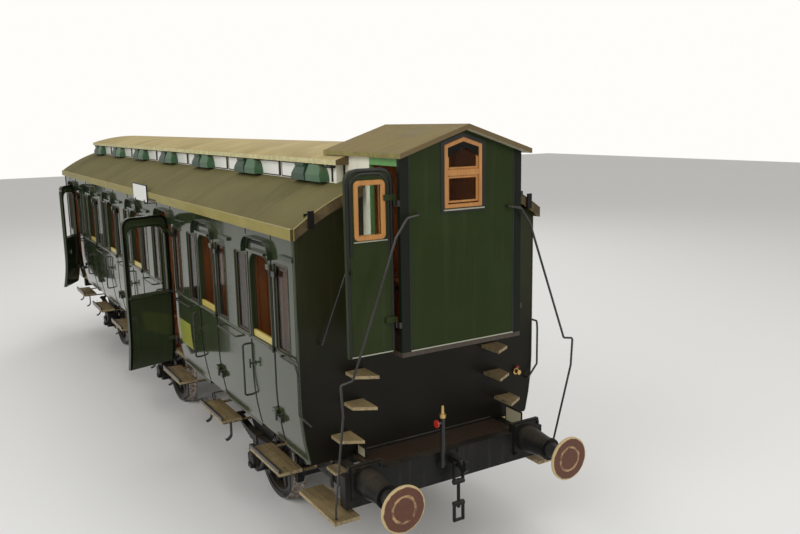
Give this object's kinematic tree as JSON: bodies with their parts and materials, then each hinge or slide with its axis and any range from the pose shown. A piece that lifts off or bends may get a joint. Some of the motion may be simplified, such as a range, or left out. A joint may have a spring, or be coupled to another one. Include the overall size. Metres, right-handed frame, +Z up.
{
  "type": "railway passenger coach",
  "caption": "Railway compartment coach with a row of swinging side doors, clerestory roof, spoked wheelsets, side buffers and a raised brakeman's cabin at one end.",
  "frame": {"origin": "Rail-head level on the centreline of the track, at mid-length of the body shell", "axes": "+X along the coach towards the brakeman's cabin, +Y across it towards side b, +Z up"},
  "size_m": [12.878, 3.264, 4.068],
  "materials": {
    "black_paint": "satin black paint",
    "board_wood": "oiled boards",
    "body_green": "glossy dark green paint",
    "buffer_red": "worn red-brown paint",
    "cream_paint": "satin cream paint",
    "roof_canvas": "painted canvas",
    "varnished_wood": "varnished",
    "wheel_iron": "dark painted iron, worn tread",
    "window_glass": "clear"
  },
  "bodies": {
    "coach_body": {"axle_guards": "black_paint", "axleboxes": "black_paint", "benches": "varnished_wood", "brake_gear": "black_paint", "brake_pipe": "black_paint", "brake_stand": "black_paint", "buffer_casings": "black_paint", "buffer_heads": "buffer_red", "cabin_ends": "body_green", "cabin_floor": "board_wood", "cabin_roof": "roof_canvas", "cabin_seat": "varnished_wood", "cabin_sides": "body_green", "clerestory_roof": "roof_canvas", "clerestory_walls": "cream_paint", "cornice": "cream_paint", "couplings": "black_paint", "drawhooks": "black_paint", "end_steps": "board_wood", "end_walls": "body_green", "floor": "board_wood", "footboards": "board_wood", "handrails": "black_paint", "headstocks": "black_paint", "hinge_knuckles": "black_paint", "letterboards": "body_green", "lower_panels": "body_green", "panes": "window_glass", "partitions": "varnished_wood", "platform": "board_wood", "roof_decks": "roof_canvas", "roof_ends": "roof_canvas", "side_hoods": "body_green", "springs": "black_paint", "tanks": "black_paint", "underframe": "black_paint", "ventilators": "body_green", "window_panels": "body_green"},
    "wheelset_1": {"axle_1": "wheel_iron", "wheels_1": "wheel_iron"},
    "wheelset_2": {"axle_2": "wheel_iron", "wheels_2": "wheel_iron"},
    "wheelset_3": {"axle_3": "wheel_iron", "wheels_3": "wheel_iron"},
    "cabin_door_a": {"cabin_door_a": "body_green"},
    "cabin_door_b": {"cabin_door_b": "body_green"},
    "door_a1": {"door_a1": "body_green"},
    "door_a2": {"door_a2": "body_green"},
    "door_a3": {"door_a3": "body_green"},
    "door_a4": {"door_a4": "body_green"},
    "door_a5": {"door_a5": "body_green"},
    "door_a6": {"door_a6": "body_green"},
    "door_a7": {"door_a7": "body_green"},
    "door_b1": {"door_b1": "body_green"},
    "door_b2": {"door_b2": "body_green"},
    "door_b3": {"door_b3": "body_green"},
    "door_b4": {"door_b4": "body_green"},
    "door_b5": {"door_b5": "body_green"},
    "door_b6": {"door_b6": "body_green"},
    "door_b7": {"door_b7": "body_green"}
  },
  "joints": [
    {"name": "door_a1_hinge", "type": "hinge", "parent": "coach_body", "child": "door_a1", "pos_m": [5.043, -1.302, 2.12], "axis": [0, 0, 1], "range_deg": [0, 90]},
    {"name": "door_a2_hinge", "type": "hinge", "parent": "coach_body", "child": "door_a2", "pos_m": [3.463, -1.302, 2.12], "axis": [0, 0, 1], "range_deg": [0, 90]},
    {"name": "door_a3_hinge", "type": "hinge", "parent": "coach_body", "child": "door_a3", "pos_m": [1.883, -1.302, 2.12], "axis": [0, 0, 1], "range_deg": [-106, 0]},
    {"name": "door_a4_hinge", "type": "hinge", "parent": "coach_body", "child": "door_a4", "pos_m": [0.303, -1.302, 2.12], "axis": [0, 0, 1], "range_deg": [0, 90]},
    {"name": "door_a5_hinge", "type": "hinge", "parent": "coach_body", "child": "door_a5", "pos_m": [-1.277, -1.302, 2.12], "axis": [0, 0, 1], "range_deg": [0, 90]},
    {"name": "door_a6_hinge", "type": "hinge", "parent": "coach_body", "child": "door_a6", "pos_m": [-2.857, -1.302, 2.12], "axis": [0, 0, 1], "range_deg": [0, 90]},
    {"name": "door_a7_hinge", "type": "hinge", "parent": "coach_body", "child": "door_a7", "pos_m": [-4.437, -1.302, 2.12], "axis": [0, 0, 1], "range_deg": [-150, 0]},
    {"name": "door_b1_hinge", "type": "hinge", "parent": "coach_body", "child": "door_b1", "pos_m": [4.437, 1.302, 2.12], "axis": [0, 0, 1], "range_deg": [0, 90]},
    {"name": "door_b2_hinge", "type": "hinge", "parent": "coach_body", "child": "door_b2", "pos_m": [2.857, 1.302, 2.12], "axis": [0, 0, 1], "range_deg": [0, 90]},
    {"name": "door_b3_hinge", "type": "hinge", "parent": "coach_body", "child": "door_b3", "pos_m": [1.277, 1.302, 2.12], "axis": [0, 0, 1], "range_deg": [0, 90]},
    {"name": "door_b4_hinge", "type": "hinge", "parent": "coach_body", "child": "door_b4", "pos_m": [-0.303, 1.302, 2.12], "axis": [0, 0, 1], "range_deg": [0, 90]},
    {"name": "door_b5_hinge", "type": "hinge", "parent": "coach_body", "child": "door_b5", "pos_m": [-1.883, 1.302, 2.12], "axis": [0, 0, 1], "range_deg": [0, 90]},
    {"name": "door_b6_hinge", "type": "hinge", "parent": "coach_body", "child": "door_b6", "pos_m": [-3.463, 1.302, 2.12], "axis": [0, 0, 1], "range_deg": [0, 90]},
    {"name": "door_b7_hinge", "type": "hinge", "parent": "coach_body", "child": "door_b7", "pos_m": [-5.043, 1.302, 2.12], "axis": [0, 0, 1], "range_deg": [0, 90]},
    {"name": "cabin_door_a_hinge", "type": "hinge", "parent": "coach_body", "child": "cabin_door_a", "pos_m": [6.115, -0.642, 2.95], "axis": [0, 0, 1], "range_deg": [-90, 0]},
    {"name": "cabin_door_b_hinge", "type": "hinge", "parent": "coach_body", "child": "cabin_door_b", "pos_m": [6.115, 0.642, 2.95], "axis": [0, 0, -1], "range_deg": [0, 90]},
    {"name": "wheelset_1_spin", "type": "hinge", "parent": "coach_body", "child": "wheelset_1", "pos_m": [3.75, 0, 0.5], "axis": [0, 1, 0], "continuous": true},
    {"name": "wheelset_2_spin", "type": "hinge", "parent": "coach_body", "child": "wheelset_2", "pos_m": [0, 0, 0.5], "axis": [0, 1, 0], "continuous": true},
    {"name": "wheelset_3_spin", "type": "hinge", "parent": "coach_body", "child": "wheelset_3", "pos_m": [-3.75, 0, 0.5], "axis": [0, 1, 0], "continuous": true}
  ]
}
